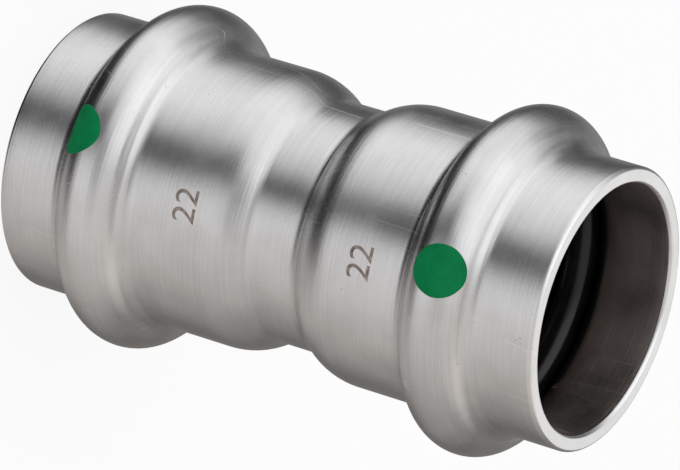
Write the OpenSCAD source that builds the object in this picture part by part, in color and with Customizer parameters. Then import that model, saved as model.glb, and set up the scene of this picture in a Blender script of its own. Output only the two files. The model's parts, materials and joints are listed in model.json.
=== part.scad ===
// Press fit coupling for two pipes. A drawn steel tube has the same form at both ends: a guide at the
// mouth, a round bead that holds a rubber seal ring, a socket, and a shoulder down to a narrow waist
// that stops the pipe. It stands on its rear mouth, and +Z runs along its axis to the front mouth.

/* [Pipe] */
// Outside diameter of the pipe that goes into each socket
pipe_d = 22; // [15:1:54]
// Play between the pipe and the socket, across the diameter
pipe_play = 0.3; // [0.2:0.05:0.6]

/* [Tube] */
// Wall thickness of the drawn tube
wall = 1.5; // [1:0.1:2]
// Straight guide from each mouth to the root of its bead
guide_len = 5.3; // [2:0.1:12]
// Straight socket from the root of each bead to the shoulder
socket_len = 6.7; // [3:0.1:20]
// Rounding of the inside and outside edges of each mouth
edge_round = 0.35; // [0.1:0.05:0.45]

/* [Waist] */
// Step from the socket in to the waist, on the radius
waist_step = 1.7; // [0.8:0.1:2.4]
// Straight length of the waist
waist_len = 3.7; // [1:0.1:20]
// Inside radius of the shoulder that stops the pipe
stop_round = 4.5; // [1:0.1:6]
// Outside radius of the hollow between the shoulder and the waist
waist_round = 1.6; // [0.6:0.1:4]

/* [Bead and seal] */
// Thickness of the seal ring's round cord
seal_cord = 3; // [2:0.1:5]
// Play between the seal ring and the bead that holds it
seal_play = 0.1; // [0.05:0.05:0.3]
// Outside radius of the hollow at each root of a bead
root_round = 1.4; // [0.6:0.1:4]

/* [Paint dot] */
// Diameter of the paint dot on each bead
dot_d = 4.6; // [3:0.1:5.5]
// Angle of the front dot from the crest of its bead towards the mouth
front_dot_tilt = 18; // [-40:1:40]
// Angle of the rear dot from the crest of its bead towards the mouth
rear_dot_tilt = 33; // [-40:1:40]
// Turn of the rear dot around the axis from the front dot
rear_dot_turn = -10; // [-180:1:180]
// Thickness of the paint
paint = 0.06; // [0.03:0.01:0.2]

/* [Hidden] */
$fn = 96;

// Outside radii of the tube, at the guides and sockets and at the waist
socket_r = (pipe_d + pipe_play) / 2 + wall;
waist_r = socket_r - waist_step;

// The seal cord and the crest of its bead share one centre, so the ring lies in the bead with even play
seal_r = (pipe_d + seal_cord) / 2;
crest_round = seal_cord / 2 + seal_play + wall;

// Distances from the axis of the other arcs' centres, on the outside of the tube
shoulder_round = stop_round + wall;
root_r = socket_r + root_round;
shoulder_r = socket_r - shoulder_round;
hollow_r = waist_r + waist_round;

// Length along the axis from one arc's centre to the next, where the two arcs meet without a corner
root_run = sqrt(pow(crest_round + root_round, 2) - pow(root_r - seal_r, 2));
shoulder_run = sqrt(pow(shoulder_round + waist_round, 2) - pow(hollow_r - shoulder_r, 2));

// Heights above the rear mouth, which are the same below the front mouth
bead_y = guide_len + root_run;
socket_y = bead_y + root_run;
shoulder_y = socket_y + socket_len;
waist_y = shoulder_y + shoulder_run;
waist_end_y = waist_y + waist_len;
length = waist_y + waist_end_y;

// How far a cut runs past the face that it opens
cut = 1;

// Draws its children from the rear mouth up, and mirrored from the front mouth down
module both_ends() {
    children();
    translate([0, length]) mirror([0, 1]) children();
}

// Area between the axis and the tube's outside, from a mouth to the far end of the waist, which both
// ends share. inset moves the outline in by that much along its normal, and past lowers the mouth.
module end_area(inset, past = 0) {
    difference() {
        polygon([
            [0, -past], [socket_r - inset, -past], [socket_r - inset, guide_len],
            [root_r, guide_len], [seal_r, bead_y], [root_r, socket_y],
            [socket_r - inset, socket_y], [socket_r - inset, shoulder_y],
            [shoulder_r, shoulder_y], [hollow_r, waist_y],
            [waist_r - inset, waist_y], [waist_r - inset, waist_end_y], [0, waist_end_y]
        ]);
        for (y = [guide_len, socket_y]) translate([root_r, y]) circle(r = root_round + inset);
        translate([hollow_r, waist_y]) circle(r = waist_round + inset);
    }
    translate([seal_r, bead_y]) circle(r = crest_round - inset);
    translate([shoulder_r, shoulder_y]) intersection() {
        circle(r = shoulder_round - inset);
        translate([0, -cut]) square(shoulder_round + 2 * cut);
    }
}

// Sharp corner that rounding takes off the mouth at radius r, on the outside (1) or the inside (-1)
module mouth_corner(r, side) {
    difference() {
        translate([r - (side > 0 ? edge_round : cut), -cut]) square(edge_round + cut);
        translate([r - side * edge_round, edge_round]) circle(r = edge_round);
    }
}

// Ring of round cord that lies in the bead at height y
module seal_ring(y) {
    rotate_extrude() translate([seal_r, y]) circle(d = seal_cord);
}

// Skin of paint on the bead at height y, trimmed to a round dot. It faces -Y, and tilt moves it from
// the crest along the bead's section, upwards where it is positive.
module paint_dot(y, tilt) {
    intersection() {
        rotate_extrude() both_ends() difference() {
            end_area(-paint);
            end_area(0);
        }
        translate([0, -seal_r, y]) rotate([90 - tilt, 0, 0]) cylinder(d = dot_d, h = crest_round + cut);
    }
}

module fitting_body() {
    color("silver") rotate_extrude() difference() {
        both_ends() end_area(0);
        both_ends() end_area(wall, cut);
        both_ends() mouth_corner(socket_r, 1);
        both_ends() mouth_corner(socket_r - wall, -1);
    }
}

module front_seal() {
    color("#1a1a1a") seal_ring(length - bead_y);
}

module rear_seal() {
    color("#1a1a1a") seal_ring(bead_y);
}

module front_dot() {
    color("#0b7142") paint_dot(length - bead_y, front_dot_tilt);
}

module rear_dot() {
    color("#0b7142") rotate(rear_dot_turn) paint_dot(bead_y, -rear_dot_tilt);
}

fitting_body();
front_seal();
rear_seal();
front_dot();
rear_dot();
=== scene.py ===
"""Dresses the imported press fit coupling: a drawn steel tube, two rubber seal rings, two paint dots and
the pipe size etched on each socket, standing on a pale floor in soft studio light."""

import json
import logging
import math
from dataclasses import dataclass
from enum import Enum
from typing import Sequence

import bpy
from mathutils import Matrix, Vector


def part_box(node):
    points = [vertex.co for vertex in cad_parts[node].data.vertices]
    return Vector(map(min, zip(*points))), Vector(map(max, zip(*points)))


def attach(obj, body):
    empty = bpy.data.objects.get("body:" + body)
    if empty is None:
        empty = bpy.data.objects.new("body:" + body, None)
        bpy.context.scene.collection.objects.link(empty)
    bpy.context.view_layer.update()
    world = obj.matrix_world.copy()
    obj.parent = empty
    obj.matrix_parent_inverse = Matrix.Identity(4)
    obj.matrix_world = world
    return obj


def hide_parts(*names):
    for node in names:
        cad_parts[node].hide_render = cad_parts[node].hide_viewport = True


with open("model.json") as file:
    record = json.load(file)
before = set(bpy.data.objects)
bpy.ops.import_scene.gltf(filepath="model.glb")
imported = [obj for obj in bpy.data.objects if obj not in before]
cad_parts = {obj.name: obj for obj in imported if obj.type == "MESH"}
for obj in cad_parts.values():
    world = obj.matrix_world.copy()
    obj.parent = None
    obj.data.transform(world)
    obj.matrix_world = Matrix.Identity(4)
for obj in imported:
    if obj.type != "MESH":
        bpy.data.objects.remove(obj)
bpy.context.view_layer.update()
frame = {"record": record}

BODY = "root"
LOG = logging.getLogger("press_coupling")

MM = 0.001
QUARTER_TURN = math.pi / 2
FULL_TURN = 2 * math.pi
UP = Vector((0, 0, 1))

# Points of a mesh that are nearer to each other than this become one
MERGE_GAP = 0.001 * MM
# How far off the tube a flat piece is drawn, before it is projected on the tube
DRAWN_OFF = 1.0 * MM
# Ranges that hold most of a noise, and nearly all of it
NOISE_MIDDLE = (0.3, 0.7)
NOISE_WIDE = (0.25, 0.75)

Triple = tuple[float, float, float]
Colour = Triple
Span = tuple[float, float]
Stops = Sequence[tuple[float, Colour]]
Tones = tuple[Span, ...]
Socket = bpy.types.NodeSocket


class Slot(Enum):
    """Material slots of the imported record."""

    STEEL = "steel"
    RUBBER = "seal_rubber"
    PAINT = "green_paint"


class End(Enum):
    """Ends of the coupling, by the first word of their nodes' names."""

    FRONT = "front"
    REAR = "rear"


class Side(Enum):
    """Sides of the tube's wall, in the order of their material slots."""

    OUTSIDE = 0
    INSIDE = 1
    RIM = 2


# Finishes

def grey(level: float) -> Colour:
    """Returns a neutral colour of that level."""
    return (level, level, level)


class Surface:
    """A procedural material in the making, with short ways to add its nodes."""

    def __init__(self, name: str) -> None:
        """Starts a material with a Principled shader.

        Args:
            name: The material's name.
        """
        self.material = bpy.data.materials.new(name)
        self.material.use_nodes = True
        self.tree = self.material.node_tree
        self.shader = self.tree.nodes["Principled BSDF"]
        self.place = self.node("ShaderNodeTexCoord").outputs["Object"]

    def node(self, kind: str, **settings: object) -> bpy.types.ShaderNode:
        """Adds a node.

        Args:
            kind: The node's Blender type.
            settings: Attributes to set on it.

        Returns:
            The new node.
        """
        made = self.tree.nodes.new(kind)
        for key, value in settings.items():
            setattr(made, key, value)
        return made

    def feed(self, socket: Socket, value: object) -> None:
        """Links a socket to a node's output, or sets its value.

        Args:
            socket: The input socket.
            value: An output socket, a number or a colour.
        """
        if isinstance(value, bpy.types.NodeSocket):
            self.tree.links.new(value, socket)
        elif isinstance(value, tuple) and socket.type == "RGBA":
            socket.default_value = (*value, 1.0)
        else:
            socket.default_value = value

    def shade(self, **sockets: object) -> None:
        """Sets or links sockets of the Principled shader, by their names with _ for a space."""
        for key, value in sockets.items():
            self.feed(self.shader.inputs[key.replace("_", " ")], value)

    def emission(self, **sockets: object) -> Socket:
        """Adds a shader that gives off light.

        Args:
            sockets: Its sockets to set or link, by their names.

        Returns:
            The shader's output.
        """
        made = self.node("ShaderNodeEmission")
        for key, value in sockets.items():
            self.feed(made.inputs[key], value)
        return made.outputs["Emission"]

    def show(self, shader: Socket) -> None:
        """Makes a shader's output the material's surface, in place of the Principled shader."""
        self.feed(self.tree.nodes["Material Output"].inputs["Surface"], shader)

    def stretched(self, scale: Triple, turn: Triple = (0.0, 0.0, 0.0)) -> Socket:
        """Turns and stretches Object coordinates.

        Args:
            scale: How much each axis is multiplied.
            turn: Angles in radians.

        Returns:
            The coordinates.
        """
        mapping = self.node("ShaderNodeMapping")
        self.feed(mapping.inputs["Vector"], self.place)
        mapping.inputs["Rotation"].default_value = turn
        mapping.inputs["Scale"].default_value = scale
        return mapping.outputs["Vector"]

    def noise(
        self, scale: float, detail: float = 2.0, roughness: float = 0.55, vector: Socket | None = None
    ) -> Socket:
        """Adds a noise texture.

        Args:
            scale: Patches per metre, or per unit of vector.
            detail: Octaves of finer noise.
            roughness: How strong the finer octaves are.
            vector: Where it is read, at Object coordinates if None.

        Returns:
            The noise, between 0 and 1.
        """
        made = self.node("ShaderNodeTexNoise")
        self.feed(made.inputs["Vector"], vector or self.place)
        made.inputs["Scale"].default_value = scale
        made.inputs["Detail"].default_value = detail
        made.inputs["Roughness"].default_value = roughness
        return made.outputs["Fac"]

    def cells(self, scale: float) -> Socket:
        """Scatters points.

        Args:
            scale: Points per metre.

        Returns:
            The distance to the nearest point.
        """
        made = self.node("ShaderNodeTexVoronoi")
        self.feed(made.inputs["Vector"], self.place)
        made.inputs["Scale"].default_value = scale
        return made.outputs["Distance"]

    def spread(self, value: Socket, span: Span, to: Span = (0.0, 1.0)) -> Socket:
        """Maps a range of a value smoothly to another range, and holds it there beyond.

        Args:
            value: The value to map.
            span: Start and end of its range.
            to: What it becomes there.

        Returns:
            The mapped value.
        """
        made = self.node("ShaderNodeMapRange", interpolation_type="SMOOTHSTEP")
        self.feed(made.inputs["Value"], value)
        for key, number in zip(("From Min", "From Max", "To Min", "To Max"), (*span, *to)):
            made.inputs[key].default_value = number
        return made.outputs["Result"]

    def combine(self, operation: str, first: object, second: object = 0.0) -> Socket:
        """Combines two values.

        Args:
            operation: The Math node's operation.
            first: The first value.
            second: The second value.

        Returns:
            The result.
        """
        made = self.node("ShaderNodeMath", operation=operation)
        self.feed(made.inputs[0], first)
        self.feed(made.inputs[1], second)
        return made.outputs[0]

    def ramp(self, value: Socket, stops: Stops) -> Socket:
        """Colours a value.

        Args:
            value: The value, from 0 to 1.
            stops: Places on it and their colours.

        Returns:
            The colour.
        """
        made = self.node("ShaderNodeValToRGB")
        elements = made.color_ramp.elements
        while len(elements) < len(stops):
            elements.new(1.0)
        for element, (position, colour) in zip(elements, stops):
            element.position = position
            element.color = (*colour, 1.0)
        self.feed(made.inputs["Fac"], value)
        return made.outputs["Color"]

    def blend(self, amount: Socket, first: object, second: object) -> Socket:
        """Blends two colours.

        Args:
            amount: How much of the second there is.
            first: The first colour.
            second: The second colour.

        Returns:
            The blended colour.
        """
        made = self.node("ShaderNodeMix", data_type="RGBA")
        colours = [s for s in made.inputs if s.type == "RGBA"]
        self.feed(made.inputs["Factor"], amount)
        self.feed(colours[0], first)
        self.feed(colours[1], second)
        return next(s for s in made.outputs if s.type == "RGBA")

    def bump(self, layers: Sequence[tuple[Socket, float]]) -> None:
        """Gives the Principled shader a bumpy normal.

        Args:
            layers: Heights from 0 to 1 and the depth of each in metres.
        """
        normal = None
        for height, depth in layers:
            made = self.node("ShaderNodeBump")
            made.inputs["Distance"].default_value = depth
            self.feed(made.inputs["Height"], height)
            if normal is not None:
                self.feed(made.inputs["Normal"], normal)
            normal = made.outputs["Normal"]
        self.shade(Normal=normal)


@dataclass(frozen=True)
class SteelFinish:
    """Satin steel, drawn and turned: fine lines around the axis, faint mottling, specks and scratches.

    Scales are patches per metre, and depths are metres. Where a cavity shade colour is given, the
    wall takes that near-black colour from a distance to the axis outwards, as painted shade.
    """

    name: str
    dark: Colour
    light: Colour
    smooth: float
    rough: float
    line_scale: Triple = (90.0, 90.0, 5200.0)
    line_depth: float = 2.2e-5
    line_share: float = 0.4
    mottle_scale: float = 170.0
    wave_scale: float = 85.0
    wave_depth: float = 2.4e-4
    grain_scale: float = 7500.0
    grain_depth: float = 1.5e-6
    speck_scale: float = 1500.0
    speck_edge: Span = (0.13, 0.05)
    speck_level: float = 0.5
    speck_patch_scale: float = 900.0
    speck_patch_edge: Span = (0.64, 0.7)
    scratch_scale: Triple = (420.0, 420.0, 24.0)
    scratch_turn: Triple = (0.9, 0.5, 0.0)
    scratch_edge: Span = (0.01, 0.003)
    scratch_rough: float = 0.12
    scratch_patch_scale: float = 150.0
    scratch_patch_edge: Span = (0.55, 0.65)
    # Painted shade: a near-black colour for the wall from a distance to the axis outwards
    painted_cavity_shade: Colour | None = None
    cavity_shade_from: float = 0.0
    cavity_shade_width: float = 0.5 * MM

    def material(self) -> bpy.types.Material:
        """Builds the material.

        Returns:
            The material.
        """
        steel = Surface(self.name)
        lines = steel.noise(1.0, detail=4.0, roughness=0.65, vector=steel.stretched(self.line_scale))
        mottle = steel.noise(self.mottle_scale, detail=5.0)
        wave = steel.noise(self.wave_scale, detail=1.5)
        grain = steel.noise(self.grain_scale)
        tone = steel.combine(
            "ADD",
            steel.combine("MULTIPLY", steel.spread(mottle, NOISE_MIDDLE), 1 - self.line_share),
            steel.combine("MULTIPLY", steel.spread(lines, NOISE_WIDE), self.line_share),
        )
        colour = steel.ramp(tone, ((0.0, self.dark), (1.0, self.light)))
        colour = steel.blend(self.specks(steel), colour, tuple(self.speck_level * c for c in self.dark))
        # Painted shade: the wall darkens beyond that distance to the axis, in the bead cavities
        if self.painted_cavity_shade:
            across = steel.node("ShaderNodeVectorMath", operation="LENGTH")
            steel.feed(across.inputs[0], steel.stretched((1.0, 1.0, 0.0)))
            cavity_shade_span = (self.cavity_shade_from, self.cavity_shade_from + self.cavity_shade_width)
            colour = steel.blend(steel.spread(across.outputs["Value"], cavity_shade_span), colour, self.painted_cavity_shade)
        scratch = self.scratches(steel)
        steel.shade(
            Base_Color=steel.blend(scratch, colour, self.light),
            Metallic=1.0,
            Roughness=steel.combine(
                "ADD",
                steel.spread(mottle, NOISE_WIDE, (self.smooth, self.rough)),
                steel.combine("MULTIPLY", scratch, self.scratch_rough),
            ),
        )
        steel.bump(((wave, self.wave_depth), (lines, self.line_depth), (grain, self.grain_depth)))
        return steel.material

    def specks(self, steel: Surface) -> Socket:
        """Draws small round specks, in scattered patches.

        Args:
            steel: The material to draw in.

        Returns:
            How much speck there is.
        """
        patch = steel.spread(steel.noise(self.speck_patch_scale, detail=1.0), self.speck_patch_edge)
        return steel.combine("MULTIPLY", steel.spread(steel.cells(self.speck_scale), self.speck_edge), patch)

    def scratches(self, steel: Surface) -> Socket:
        """Draws hairline scratches where a slow noise passes its middle, in scattered patches.

        Args:
            steel: The material to draw in.

        Returns:
            How much scratch there is.
        """
        slanted = steel.stretched(self.scratch_scale, self.scratch_turn)
        course = steel.noise(1.0, detail=0.0, vector=slanted)
        off_middle = steel.combine("ABSOLUTE", steel.combine("SUBTRACT", course, 0.5))
        patch = steel.spread(steel.noise(self.scratch_patch_scale, detail=1.0), self.scratch_patch_edge)
        return steel.combine("MULTIPLY", steel.spread(off_middle, self.scratch_edge), patch)


@dataclass(frozen=True)
class RubberFinish:
    """Moulded black rubber with a faint bloom."""

    name: str = "moulded_rubber"
    dark: Colour = (0.004, 0.004, 0.004)
    dark_at: float = 0.35
    bloom: Colour = (0.013, 0.013, 0.012)
    bloom_at: float = 0.8
    cloud_scale: float = 260.0
    cloud_depth: float = 2.0e-5
    pore_scale: float = 5200.0
    pore_depth: float = 6.0e-6
    roughness: Span = (0.15, 0.24)
    specular: float = 0.38

    def material(self) -> bpy.types.Material:
        """Builds the material.

        Returns:
            The material.
        """
        rubber = Surface(self.name)
        cloud = rubber.noise(self.cloud_scale, detail=4.0)
        pores = rubber.noise(self.pore_scale)
        rubber.shade(
            Base_Color=rubber.ramp(cloud, ((self.dark_at, self.dark), (self.bloom_at, self.bloom))),
            Roughness=rubber.spread(cloud, NOISE_MIDDLE, self.roughness),
            Specular_IOR_Level=self.specular,
        )
        rubber.bump(((pores, self.pore_depth), (cloud, self.cloud_depth)))
        return rubber.material


@dataclass(frozen=True)
class PaintFinish:
    """Thin opaque paint, dabbed on, a little uneven in tone and gloss."""

    name: str = "green_dab"
    thin: Colour = (0.0005, 0.148, 0.046)
    thin_at: float = 0.3
    full: Colour = (0.0005, 0.188, 0.06)
    full_at: float = 0.65
    cloud_scale: float = 700.0
    cloud_depth: float = 2.5e-5
    grain_scale: float = 6500.0
    grain_depth: float = 3.0e-6
    roughness: Span = (0.46, 0.6)
    specular: float = 0.06

    def material(self) -> bpy.types.Material:
        """Builds the material.

        Returns:
            The material.
        """
        paint = Surface(self.name)
        cloud = paint.noise(self.cloud_scale, detail=3.0)
        grain = paint.noise(self.grain_scale)
        paint.shade(
            Base_Color=paint.ramp(cloud, ((self.thin_at, self.thin), (self.full_at, self.full))),
            Roughness=paint.spread(cloud, NOISE_MIDDLE, self.roughness),
            Specular_IOR_Level=self.specular,
        )
        paint.bump(((cloud, self.cloud_depth), (grain, self.grain_depth)))
        return paint.material


@dataclass(frozen=True)
class EtchFinish:
    """Steel that was burnt brown and rough by etching, uneven along the strokes."""

    name: str = "etched_steel"
    burnt: Colour = (0.19, 0.15, 0.13)
    burnt_at: float = 0.35
    faint: Colour = (0.42, 0.355, 0.32)
    faint_at: float = 0.65
    cloud_scale: float = 1600.0
    grain_scale: float = 9000.0
    grain_depth: float = 4.0e-6
    metallic: float = 0.7
    roughness: Span = (0.62, 0.45)

    def material(self) -> bpy.types.Material:
        """Builds the material.

        Returns:
            The material.
        """
        etch = Surface(self.name)
        cloud = etch.noise(self.cloud_scale, detail=3.0)
        grain = etch.noise(self.grain_scale)
        etch.shade(
            Base_Color=etch.ramp(cloud, ((self.burnt_at, self.burnt), (self.faint_at, self.faint))),
            Metallic=self.metallic,
            Roughness=etch.spread(cloud, NOISE_MIDDLE, self.roughness),
        )
        etch.bump(((grain, self.grain_depth),))
        return etch.material


# Modelling by hand

def clear_selection() -> None:
    """Leaves no object selected."""
    bpy.ops.object.select_all(action="DESELECT")


def named(name: str) -> bpy.types.Object:
    """Names the active object and its mesh.

    Args:
        name: The name.

    Returns:
        The object.
    """
    piece = bpy.context.object
    piece.name = name
    piece.data.name = name
    return piece


def away(azimuth_deg: float, elevation_deg: float, distance: float = 1.0) -> Vector:
    """Finds a point by its direction from the origin.

    Args:
        azimuth_deg: Degrees from +X towards +Y.
        elevation_deg: Degrees above the horizon.
        distance: Distance from the origin.

    Returns:
        The point.
    """
    azimuth = math.radians(azimuth_deg)
    elevation = math.radians(elevation_deg)
    flat = distance * math.cos(elevation)
    return Vector((flat * math.cos(azimuth), flat * math.sin(azimuth), distance * math.sin(elevation)))


def turned(x_axis: Vector, y_axis: Vector, z_axis: Vector) -> Matrix:
    """Returns the turn that brings the axes of a drawing to those directions."""
    return Matrix((x_axis, y_axis, z_axis)).transposed()


def revolve(steps: int) -> None:
    """Spins what is selected in edit mode once around the axis, and closes it.

    Args:
        steps: How many facets go round.
    """
    bpy.ops.mesh.spin(steps=steps, angle=FULL_TURN, center=(0, 0, 0), axis=(0, 0, 1))
    bpy.ops.mesh.select_all(action="SELECT")
    bpy.ops.mesh.remove_doubles(threshold=MERGE_GAP)
    bpy.ops.mesh.normals_make_consistent(inside=False)
    bpy.ops.object.mode_set(mode="OBJECT")
    bpy.ops.object.shade_smooth()


def apply_modifier(piece: bpy.types.Object, kind: str, **settings: object) -> None:
    """Adds a modifier to a piece and applies it.

    Args:
        piece: The piece.
        kind: The modifier's Blender type.
        settings: Attributes to set on it.
    """
    bpy.context.view_layer.objects.active = piece
    modifier = piece.modifiers.new(kind.lower(), kind)
    for key, value in settings.items():
        setattr(modifier, key, value)
    bpy.ops.object.modifier_apply(modifier=modifier.name)


def lay_on(piece: bpy.types.Object, tube: bpy.types.Object, place: Matrix, gap: float) -> None:
    """Sets a flat piece in front of the tube and projects it on the tube's outside.

    Args:
        piece: The flat piece, drawn around the origin and facing +Z.
        tube: The tube.
        place: Where the origin and axes of the drawing go.
        gap: How far above the tube it lies.
    """
    clear_selection()
    piece.select_set(True)
    piece.matrix_world = place
    apply_modifier(
        piece, "SHRINKWRAP", target=tube, wrap_method="PROJECT", wrap_mode="ABOVE_SURFACE", offset=gap,
        use_project_z=True, use_negative_direction=True, use_positive_direction=False,
    )
    bpy.ops.object.transform_apply(location=True, rotation=True, scale=True)


def hand_over(piece: bpy.types.Object, node: str | None = None) -> None:
    """Lets a finished piece ride on the part and reports it.

    Args:
        piece: The piece.
        node: The CAD node that it stands for, if any.
    """
    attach(piece, BODY)
    if node:
        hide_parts(node)
    LOG.info("%s: %d faces, for node %s", piece.name, len(piece.data.polygons), node)


class Pen:
    """Draws an outline in the XZ plane: one vertex, extruded along lines and spun along arcs."""

    def __init__(self, radius: float, height: float) -> None:
        """Sets the pen down, in edit mode.

        Args:
            radius: Distance of the first point from the axis.
            height: Its height.
        """
        clear_selection()
        bpy.ops.mesh.primitive_plane_add(size=MM, location=(0, 0, 0))
        bpy.ops.object.mode_set(mode="EDIT")
        bpy.ops.mesh.select_all(action="SELECT")
        bpy.ops.mesh.merge(type="CENTER")
        bpy.ops.transform.translate(value=(radius, 0, height))

    def line(self, across: float, along: float, steps: int) -> None:
        """Extrudes a straight line.

        Args:
            across: Run away from the axis.
            along: Run up the axis.
            steps: How many edges it has.
        """
        move = {"value": (across / steps, 0, along / steps)}
        for _ in range(steps):
            bpy.ops.mesh.extrude_region_move(TRANSFORM_OT_translate=move)

    def arc(self, centre: Span, angle: float, steps: int) -> None:
        """Spins an arc.

        Args:
            centre: Radius and height of its centre.
            angle: Its angle in radians, positive from +X towards +Z.
            steps: How many edges it has.
        """
        radius, height = centre
        bpy.ops.mesh.spin(steps=steps, angle=angle, center=(radius, 0, height), axis=(0, 1, 0))

    def close(self) -> None:
        """Joins the outline's last point to its first and selects all of it."""
        bpy.ops.mesh.select_all(action="SELECT")
        bpy.ops.mesh.remove_doubles(threshold=MERGE_GAP)


# The coupling

@dataclass
class Section:
    """Section of the coupling's wall, with the values of the CAD model, in metres."""

    length: float
    bore_r: float
    socket_len: float
    pipe_play: float = 0.3 * MM
    wall: float = 1.5 * MM
    guide_len: float = 5.3 * MM
    edge_round: float = 0.35 * MM
    waist_step: float = 1.7 * MM
    stop_round: float = 4.5 * MM
    waist_round: float = 1.6 * MM
    seal_cord: float = 3.0 * MM
    seal_play: float = 0.1 * MM
    root_round: float = 1.4 * MM

    @classmethod
    def from_frame(cls) -> "Section":
        """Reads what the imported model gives: the tube's length and the socket's bore.

        Returns:
            The section.
        """
        _, tube_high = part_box("fitting_body")
        bore = next(m for m in frame["record"]["mounts"] if m["name"] == "rear_socket")["dims"]
        return cls(length=tube_high.z, bore_r=bore["r_mm"] * MM, socket_len=bore["length_mm"] * MM)

    @property
    def socket_r(self) -> float:
        """Outside radius of the guides and sockets."""
        return self.bore_r + self.wall

    @property
    def seal_r(self) -> float:
        """Distance of the seal cord's middle from the axis, for a cord that lies on the pipe."""
        return self.bore_r - self.pipe_play / 2 + self.seal_cord / 2

    @property
    def crest_round(self) -> float:
        """Outside radius of the bead's crest."""
        return self.seal_cord / 2 + self.seal_play + self.wall

    @property
    def root_r(self) -> float:
        """Distance of the root arcs' centres from the axis."""
        return self.socket_r + self.root_round

    @property
    def root_angle(self) -> float:
        """Angle of each root arc."""
        return math.acos((self.root_r - self.seal_r) / (self.crest_round + self.root_round))

    @property
    def bead_z(self) -> float:
        """Height of the rear bead's middle above the rear mouth."""
        return self.guide_len + (self.crest_round + self.root_round) * math.sin(self.root_angle)

    @property
    def socket_z(self) -> float:
        """Height of the socket's start above the rear mouth."""
        return 2 * self.bead_z - self.guide_len

    @property
    def shoulder_z(self) -> float:
        """Height of the socket's end above the rear mouth."""
        return self.socket_z + self.socket_len

    @property
    def shoulder_round(self) -> float:
        """Outside radius of the shoulder."""
        return self.stop_round + self.wall

    @property
    def shoulder_r(self) -> float:
        """Distance of the shoulder arcs' centres from the axis."""
        return self.socket_r - self.shoulder_round

    @property
    def hollow_r(self) -> float:
        """Distance of the waist arcs' centres from the axis."""
        return self.socket_r - self.waist_step + self.waist_round

    @property
    def shoulder_angle(self) -> float:
        """Angle of each shoulder arc."""
        return math.acos((self.hollow_r - self.shoulder_r) / (self.shoulder_round + self.waist_round))

    @property
    def waist_z(self) -> float:
        """Height of the waist's start above the rear mouth."""
        run = (self.shoulder_round + self.waist_round) * math.sin(self.shoulder_angle)
        return self.shoulder_z + run

    def bead_height(self, end: End) -> float:
        """Returns the height of that end's bead."""
        return self.bead_z if end is End.REAR else self.length - self.bead_z


@dataclass
class Tube:
    """The drawn steel tube, one wall with a bead, a socket and a shoulder at each end."""

    section: Section
    outside: SteelFinish
    inside: SteelFinish
    rim: SteelFinish
    facets: int = 256
    straight_steps: int = 5
    root_steps: int = 9
    crest_steps: int = 26
    shoulder_steps: int = 9
    hollow_steps: int = 7
    edge_steps: int = 5
    rim_steps: int = 3

    def build(self) -> bpy.types.Object:
        """Draws the section's outline, spins it round the axis and dresses its sides.

        Returns:
            The tube.
        """
        s = self.section
        flat = s.wall - 2 * s.edge_round
        outer, inner = s.socket_r - s.edge_round, s.bore_r + s.edge_round
        low, high = s.edge_round, s.length - s.edge_round
        pen = Pen(outer, 0.0)
        pen.arc((outer, low), QUARTER_TURN, self.edge_steps)
        self.trace_wall(pen, 1)
        pen.arc((outer, high), QUARTER_TURN, self.edge_steps)
        pen.line(-flat, 0.0, self.rim_steps)
        pen.arc((inner, high), QUARTER_TURN, self.edge_steps)
        self.trace_wall(pen, -1)
        pen.arc((inner, low), QUARTER_TURN, self.edge_steps)
        pen.line(flat, 0.0, self.rim_steps)
        pen.close()
        revolve(self.facets)
        tube = named("drawn_tube")
        self.dress(tube)
        return tube

    def trace_wall(self, pen: Pen, way: int) -> None:
        """Draws one side of the wall from mouth to mouth.

        Args:
            pen: The pen, at the end of a mouth's rounding.
            way: 1 up the outside, -1 down the inside.
        """
        s = self.section
        guide = s.guide_len - s.edge_round
        waist = s.length - 2 * s.waist_z

        def line(run: float) -> None:
            """Draws a straight run."""
            pen.line(0.0, way * run, self.straight_steps)

        def arc(radius: float, run: float, angle: float, steps: int) -> None:
            """Draws an arc whose centre is run from the mouth where the wall began."""
            height = run if way > 0 else s.length - run
            pen.arc((radius, height), way * angle, steps)

        def bead(root: float, far_root: float) -> None:
            """Draws a bead.

            Args:
                root: Run from the mouth to its first root.
                far_root: Run from the mouth to its second root.
            """
            arc(s.root_r, root, -s.root_angle, self.root_steps)
            arc(s.seal_r, (root + far_root) / 2, 2 * s.root_angle, self.crest_steps)
            arc(s.root_r, far_root, -s.root_angle, self.root_steps)

        line(guide)
        bead(s.guide_len, s.socket_z)
        line(s.socket_len)
        arc(s.shoulder_r, s.shoulder_z, s.shoulder_angle, self.shoulder_steps)
        arc(s.hollow_r, s.waist_z, -s.shoulder_angle, self.hollow_steps)
        line(waist)
        arc(s.hollow_r, s.length - s.waist_z, -s.shoulder_angle, self.hollow_steps)
        arc(s.shoulder_r, s.length - s.shoulder_z, s.shoulder_angle, self.shoulder_steps)
        line(s.socket_len)
        bead(s.length - s.socket_z, s.length - s.guide_len)
        line(guide)

    def dress(self, tube: bpy.types.Object) -> None:
        """Gives each side of the wall its finish.

        Args:
            tube: The tube.
        """
        s = self.section
        for finish in (self.outside, self.inside, self.rim):
            tube.data.materials.append(finish.material())
        for face in tube.data.polygons:
            x, y, z = face.center
            if min(z, s.length - z) < s.edge_round:
                side = Side.RIM
            elif x * face.normal.x + y * face.normal.y > 0:
                side = Side.OUTSIDE
            else:
                side = Side.INSIDE
            face.material_index = side.value


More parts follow.
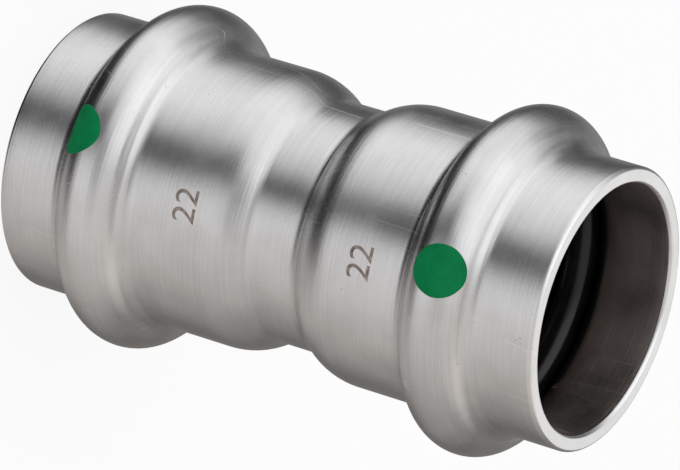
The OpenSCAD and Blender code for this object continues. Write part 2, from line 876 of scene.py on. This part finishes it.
@dataclass
class SealRing:
    """A moulded rubber ring with a fine parting ridge around its inside and outside."""

    section: Section
    end: End
    points: int = 48
    facets: int = 200
    shrink: float = 0.04 * MM
    ridge: float = 0.03 * MM

    def build(self, material: bpy.types.Material) -> bpy.types.Object:
        """Draws the cord's section, raises its ridges and spins it round the axis.

        Args:
            material: Its material.

        Returns:
            The ring.
        """
        s = self.section
        cord_r = s.seal_cord / 2 - self.shrink
        clear_selection()
        bpy.ops.mesh.primitive_circle_add(
            vertices=self.points, radius=cord_r, location=(0, 0, 0), rotation=(QUARTER_TURN, 0, 0)
        )
        ring = named(f"{self.end.value}_seal_ring")
        bpy.ops.object.transform_apply(rotation=True)
        for vertex in ring.data.vertices:
            if abs(vertex.co.z) < cord_r / self.points:
                vertex.co.x += math.copysign(self.ridge, vertex.co.x)
        bpy.ops.object.mode_set(mode="EDIT")
        bpy.ops.mesh.select_all(action="SELECT")
        bpy.ops.transform.translate(value=(s.seal_r, 0, s.bead_height(self.end)))
        revolve(self.facets)
        ring.data.materials.append(material)
        return ring


@dataclass
class PaintDot:
    """A dab of paint that lies on a bead, round with a slightly wavering edge.

    Each wave of the edge gives how often it goes round, its share and where it starts, in radians.
    edge_turn moves all of them round the edge, in radians.
    """

    section: Section
    end: End
    tilt_deg: float
    turn_deg: float
    edge_turn: float
    diameter: float = 4.6 * MM
    thickness: float = 0.05 * MM
    points: int = 96
    rings: int = 9
    rim: float = 0.07 * MM
    rim_share: float = 0.2
    waver: float = 0.006
    waves: tuple[Triple, ...] = ((2, 1.0, 0.0), (5, 0.6, 1.0), (9, 0.4, 2.0))
    thick_group: str = "thick"

    def place(self) -> Matrix:
        """Finds where the dot's drawing goes: just off the bead and facing away from it.

        Returns:
            The place of its origin and axes.
        """
        s = self.section
        tilt = math.radians(self.tilt_deg)
        out = Vector((0, -math.cos(tilt), math.sin(tilt)))
        side = Vector((1, 0, 0))
        axes = turned(side, out.cross(side), out).to_4x4()
        cord = Vector((0, -s.seal_r, s.bead_height(self.end)))
        axes.translation = cord + out * (s.crest_round + DRAWN_OFF)
        return Matrix.Rotation(math.radians(self.turn_deg), 4, "Z") @ axes

    def build(self, tube: bpy.types.Object, material: bpy.types.Material) -> bpy.types.Object:
        """Draws the dot, lays it on the bead and gives it a rounded thickness.

        Args:
            tube: The tube that carries it.
            material: Its material.

        Returns:
            The dot.
        """
        radius = self.diameter / 2
        clear_selection()
        bpy.ops.mesh.primitive_circle_add(
            vertices=self.points, radius=radius, fill_type="NGON", location=(0, 0, 0)
        )
        dot = named(f"{self.end.value}_paint_dot")
        bpy.ops.object.mode_set(mode="EDIT")
        bpy.ops.mesh.select_all(action="SELECT")
        bpy.ops.mesh.inset(thickness=self.rim)
        for _ in range(self.rings):
            bpy.ops.mesh.inset(thickness=radius / (self.rings + 1))
        bpy.ops.mesh.poke()
        bpy.ops.object.mode_set(mode="OBJECT")
        body = dot.vertex_groups.new(name=self.thick_group)
        for vertex in dot.data.vertices:
            edge = vertex.co.length > radius - self.rim / 2
            body.add([vertex.index], self.rim_share if edge else 1.0, "REPLACE")
            angle = math.atan2(vertex.co.y, vertex.co.x) + self.edge_turn
            wave = sum(share * math.sin(count * angle + start) for count, share, start in self.waves)
            vertex.co *= 1 + self.waver * wave
        lay_on(dot, tube, self.place(), gap=0.0)
        apply_modifier(dot, "SOLIDIFY", thickness=self.thickness, offset=1.0, vertex_group=self.thick_group)
        bpy.ops.object.shade_smooth()
        dot.data.materials.append(material)
        return dot


@dataclass
class SizeMark:
    """The pipe size in plain figures, etched on a socket and read with the axis lying down."""

    section: Section
    end: End
    height: float
    turn_deg: float
    figures: str = "22"
    text_size: float = 3.2 * MM
    curve_steps: int = 6
    slices: int = 26
    gap: float = 0.001 * MM
    thickness: float = 0.012 * MM

    def place(self) -> Matrix:
        """Finds where the figures' drawing goes: just off the socket and facing away from it.

        Returns:
            The place of its origin and axes.
        """
        out = away(self.turn_deg, 0.0)
        axes = turned(out.cross(UP), -UP, out).to_4x4()
        axes.translation = out * (self.section.socket_r + DRAWN_OFF) + UP * self.height
        return axes

    def build(self, tube: bpy.types.Object, material: bpy.types.Material) -> bpy.types.Object:
        """Writes the figures, cuts them in slices so that they bend, and lays them on the tube.

        Args:
            tube: The tube that carries them.
            material: Their material.

        Returns:
            The figures.
        """
        clear_selection()
        bpy.ops.object.text_add(location=(0, 0, 0))
        text = bpy.context.object
        text.data.body = self.figures
        text.data.size = self.text_size
        text.data.align_x = "CENTER"
        text.data.align_y = "CENTER"
        text.data.resolution_u = self.curve_steps
        bpy.ops.object.convert(target="MESH")
        mark = named(f"{self.end.value}_size_mark")
        span = mark.dimensions.x
        bpy.ops.object.mode_set(mode="EDIT")
        for step in range(1, self.slices):
            bpy.ops.mesh.select_all(action="SELECT")
            across = span * (step / self.slices - 0.5)
            bpy.ops.mesh.bisect(plane_co=(across, 0, 0), plane_no=(1, 0, 0))
        bpy.ops.object.mode_set(mode="OBJECT")
        lay_on(mark, tube, self.place(), self.gap)
        apply_modifier(mark, "SOLIDIFY", thickness=self.thickness, offset=1.0)
        mark.data.materials.append(material)
        return mark


# The studio

@dataclass
class Viewpoint:
    """The camera, as the photograph was taken: turned on its side, so that the axis lies across."""

    middle: Vector
    azimuth_deg: float = -93.5
    elevation_deg: float = 28.1
    roll_deg: float = 106.96
    distance: float = 563.9 * MM
    aim_right: float = 0.503 * MM
    aim_up: float = 0.348 * MM
    focal_px: float = 6472.6
    image_width: int = 680
    sensor: float = 36.0

    def build(self) -> None:
        """Makes the camera and gives it to the scene."""
        back = away(self.azimuth_deg, self.elevation_deg)
        right = UP.cross(back).normalized()
        up = back.cross(right)
        eye = self.middle + back * self.distance
        aim = self.middle + right * self.aim_right + up * self.aim_up
        look = (eye - aim).normalized()
        level = up.cross(look).normalized()
        roll = Matrix.Rotation(math.radians(self.roll_deg), 3, "Z")
        axes = turned(level, look.cross(level), look) @ roll
        data = bpy.data.cameras.new("camera")
        data.sensor_width = self.sensor
        data.lens = self.focal_px * self.sensor / self.image_width
        camera = bpy.data.objects.new("camera", data)
        camera.matrix_world = Matrix.Translation(eye) @ axes.to_4x4()
        bpy.context.scene.collection.objects.link(camera)
        bpy.context.scene.camera = camera


@dataclass(frozen=True)
class TentBand:
    """Greys of the tent round the fitting, by degrees from the camera's side, positive to the image's
    top. They take over from the band beside them between two heights, in degrees above the horizon."""

    tones: Tones
    start_deg: float = 0.0
    end_deg: float = 0.0

    def rises(self) -> Span:
        """Returns the two heights, as shares of the tent's radius."""
        return (math.sin(math.radians(self.start_deg)), math.sin(math.radians(self.end_deg)))


@dataclass
class Studio:
    """Pale floor, soft light, and a tent of graded greys that only reflected rays see."""

    view_azimuth_deg: float
    floor_size: float = 6.0
    floor_grey: float = 0.9
    floor_rough: float = 0.9
    floor_glow: float = 0.88
    card_size: float = 0.26
    card_distance: float = 0.5
    card_rise_deg: float = 28.0
    card_level: float = 0.95
    lamp_size: float = 0.8
    lamp_power: float = 2.2
    lamp_place: Triple = (-0.25, -0.3, 0.9)
    world_level: float = 0.75
    tent_r: float = 0.7
    tent_facets: int = 96
    tent_rings: int = 48
    tint_below: Colour = (1.04, 0.99, 0.95)
    tint_above: Colour = (0.985, 0.985, 1.01)
    tint_span_deg: float = 80.0
    side: TentBand = TentBand((
        (-180, 0.24), (-142, 0.17), (-120, 0.31), (-80, 0.55), (-30, 0.8), (-10, 0.9), (1, 0.66),
        (11, 0.13), (24, 0.13), (40, 0.75), (60, 1.05), (85, 1.12), (104, 0.9), (120, 0.17), (142, 0.07),
        (160, 0.28), (180, 0.24),
    ))
    high: TentBand = TentBand((
        (-180, 0.16), (-128, 0.27), (-95, 0.52), (-50, 0.7), (-28, 0.62), (-10, 0.45), (4, 0.38), (14, 0.52),
        (26, 0.9), (60, 1.2), (88, 1.2), (104, 0.9), (120, 0.45), (138, 0.16), (180, 0.14),
    ), 6.0, 24.0)
    top: TentBand = TentBand((
        (-180, 1.1), (-140, 0.8), (-105, 0.65), (-50, 0.7), (-5, 0.8), (12, 1.15), (40, 1.3), (90, 1.3),
        (130, 1.2), (180, 1.1),
    ), 32.0, 54.0)
    low: TentBand = TentBand((
        (-180, 0.1), (-150, 0.4), (-100, 0.52), (-60, 0.44), (-25, 0.08), (0, 0.02), (60, 0.02), (150, 0.02),
        (180, 0.1),
    ), -36.0, -54.0)

    def build(self) -> None:
        """Makes the floor, the tent, the card, the lamp and the world."""
        self.floor()
        self.tent()
        self.rim_card()
        self.lamp()
        self.world()
        bpy.context.scene.view_settings.view_transform = "Standard"

    @staticmethod
    def seen(tree: bpy.types.NodeTree) -> Socket:
        """Adds what tells whether a ray comes from the camera, a reflection or through glass.

        Args:
            tree: The node tree.

        Returns:
            1 for such a ray, or 0.
        """
        path = tree.nodes.new("ShaderNodeLightPath")
        total = path.outputs["Is Camera Ray"]
        for name in ("Is Glossy Ray", "Is Transmission Ray"):
            either = tree.nodes.new("ShaderNodeMath")
            either.operation = "MAXIMUM"
            tree.links.new(total, either.inputs[0])
            tree.links.new(path.outputs[name], either.inputs[1])
            total = either.outputs[0]
        return total

    def floor(self) -> None:
        """Makes the floor, white where it is seen, which still takes the shadow."""
        clear_selection()
        bpy.ops.mesh.primitive_plane_add(size=self.floor_size, location=(0, 0, 0))
        floor = named("floor")
        pale = Surface("pale_floor")
        pale.shade(Base_Color=grey(self.floor_grey), Roughness=self.floor_rough, Specular_IOR_Level=0.0)
        mix = pale.node("ShaderNodeMixShader")
        pale.feed(mix.inputs[0], pale.combine("MULTIPLY", self.seen(pale.tree), self.floor_glow))
        pale.feed(mix.inputs[1], pale.shader.outputs["BSDF"])
        pale.feed(mix.inputs[2], pale.emission())
        pale.show(mix.outputs["Shader"])
        floor.data.materials.append(pale.material)
        floor.visible_glossy = False

    def tent(self) -> None:
        """Hangs the tent, whose tones run round the fitting from the side of the camera."""
        clear_selection()
        bpy.ops.mesh.primitive_uv_sphere_add(
            segments=self.tent_facets, ring_count=self.tent_rings, radius=self.tent_r, location=(0, 0, 0)
        )
        tent = named("light_tent")
        cloth = Surface("tent_cloth")
        split = cloth.node("ShaderNodeSeparateXYZ")
        turn = (0.0, 0.0, -math.radians(self.view_azimuth_deg))
        cloth.feed(split.inputs[0], cloth.stretched((1.0, 1.0, 1.0), turn))
        angle = cloth.combine("ARCTAN2", split.outputs["Y"], split.outputs["X"])
        around = cloth.combine("SUBTRACT", 0.5, cloth.combine("DIVIDE", angle, FULL_TURN))
        rise = cloth.combine("DIVIDE", split.outputs["Z"], self.tent_r)
        colour = self.band_colour(cloth, around, self.side)
        for band in (self.high, self.top, self.low):
            share = cloth.spread(rise, band.rises())
            colour = cloth.blend(share, colour, self.band_colour(cloth, around, band))
        cloth.show(cloth.emission(Color=colour))
        tent.data.materials.append(cloth.material)
        self.only_in_reflections(tent)

    def band_colour(self, cloth: Surface, around: Socket, band: TentBand) -> Socket:
        """Colours a band of the tent, whose light is warmer below in the picture than above.

        Args:
            cloth: The tent's material.
            around: The share of the way around.
            band: The band.

        Returns:
            The colour.
        """
        stops = []
        for angle, level in band.tones:
            warmth = min(max(-angle / self.tint_span_deg, 0.0), 1.0)
            tint = Vector(self.tint_above).lerp(Vector(self.tint_below), warmth)
            stops.append(((angle + 180) / 360, tuple(level * tint)))
        return cloth.ramp(around, stops)

    def rim_card(self) -> None:
        """Stands a white card behind the fitting, which the flat rim of its front mouth reflects."""
        clear_selection()
        place = away(self.view_azimuth_deg + 180, self.card_rise_deg, self.card_distance)
        bpy.ops.mesh.primitive_plane_add(
            size=self.card_size, location=place, rotation=place.to_track_quat("Z", "Y").to_euler()
        )
        card = named("rim_card")
        white = Surface("white_card")
        white.show(white.emission(Strength=self.card_level))
        card.data.materials.append(white.material)
        self.only_in_reflections(card)

    @staticmethod
    def only_in_reflections(card: bpy.types.Object) -> None:
        """Hides an object from all but reflected rays.

        Args:
            card: The object.
        """
        for rays in ("camera", "diffuse", "transmission", "volume_scatter", "shadow"):
            setattr(card, f"visible_{rays}", False)

    def lamp(self) -> None:
        """Hangs a wide soft lamp above the fitting."""
        data = bpy.data.lights.new("soft_lamp", "AREA")
        data.size = self.lamp_size
        data.energy = self.lamp_power
        lamp = bpy.data.objects.new("soft_lamp", data)
        lamp.location = self.lamp_place
        lamp.rotation_euler = (-lamp.location).to_track_quat("-Z", "Y").to_euler()
        lamp.visible_glossy = False
        bpy.context.scene.collection.objects.link(lamp)

    def world(self) -> None:
        """Surrounds the fitting with even light, white where it is seen."""
        world = bpy.data.worlds.new("soft_world")
        world.use_nodes = True
        tree = world.node_tree
        strength = tree.nodes.new("ShaderNodeMapRange")
        strength.inputs["To Min"].default_value = self.world_level
        strength.inputs["To Max"].default_value = 1.0
        tree.links.new(self.seen(tree), strength.inputs["Value"])
        sky = tree.nodes["Background"]
        sky.inputs["Color"].default_value = (1, 1, 1, 1)
        tree.links.new(strength.outputs["Result"], sky.inputs["Strength"])
        bpy.context.scene.world = world


def main() -> None:
    """Builds the coupling and its studio, piece by piece."""
    logging.basicConfig(level=logging.INFO, format="%(name)s %(message)s")
    section = Section.from_frame()
    tube = Tube(
        section,
        outside=SteelFinish(
            "drawn_steel", dark=(0.6, 0.595, 0.59), light=(0.76, 0.755, 0.75), smooth=0.2, rough=0.3
        ),
        # The bore is a darker, browner copy of the steel: painted shade of the tube's inside
        inside=SteelFinish(
            "shaded_bore_steel", dark=(0.41, 0.37, 0.347), light=(0.57, 0.519, 0.485), smooth=0.34, rough=0.46,
            # near black from the bore's radius outwards: painted shade in the bead cavities behind the seals
            painted_cavity_shade=(0.045, 0.04, 0.037), cavity_shade_from=section.bore_r,
        ),
        rim=SteelFinish(
            "cut_steel", dark=(0.7, 0.695, 0.69), light=(0.84, 0.835, 0.83), smooth=0.18, rough=0.3
        ),
    ).build()
    hand_over(tube, "fitting_body")

    rubber = RubberFinish().material()
    for end in End:
        hand_over(SealRing(section, end).build(rubber), f"{end.value}_seal")

    paint = PaintFinish().material()
    for dot in (
        PaintDot(section, End.FRONT, tilt_deg=18.0, turn_deg=0.0, edge_turn=0.0),
        PaintDot(section, End.REAR, tilt_deg=-33.0, turn_deg=-10.0, edge_turn=-10.0),
    ):
        hand_over(dot.build(tube, paint), f"{dot.end.value}_dot")

    etch = EtchFinish().material()
    for mark in (
        SizeMark(section, End.FRONT, height=36.8 * MM, turn_deg=-83.5),
        SizeMark(section, End.REAR, height=19.0 * MM, turn_deg=-84.7),
    ):
        hand_over(mark.build(tube, etch))

    viewpoint = Viewpoint(section.length / 2 * UP)
    viewpoint.build()
    Studio(viewpoint.azimuth_deg).build()


if __name__ == "__main__":
    main()
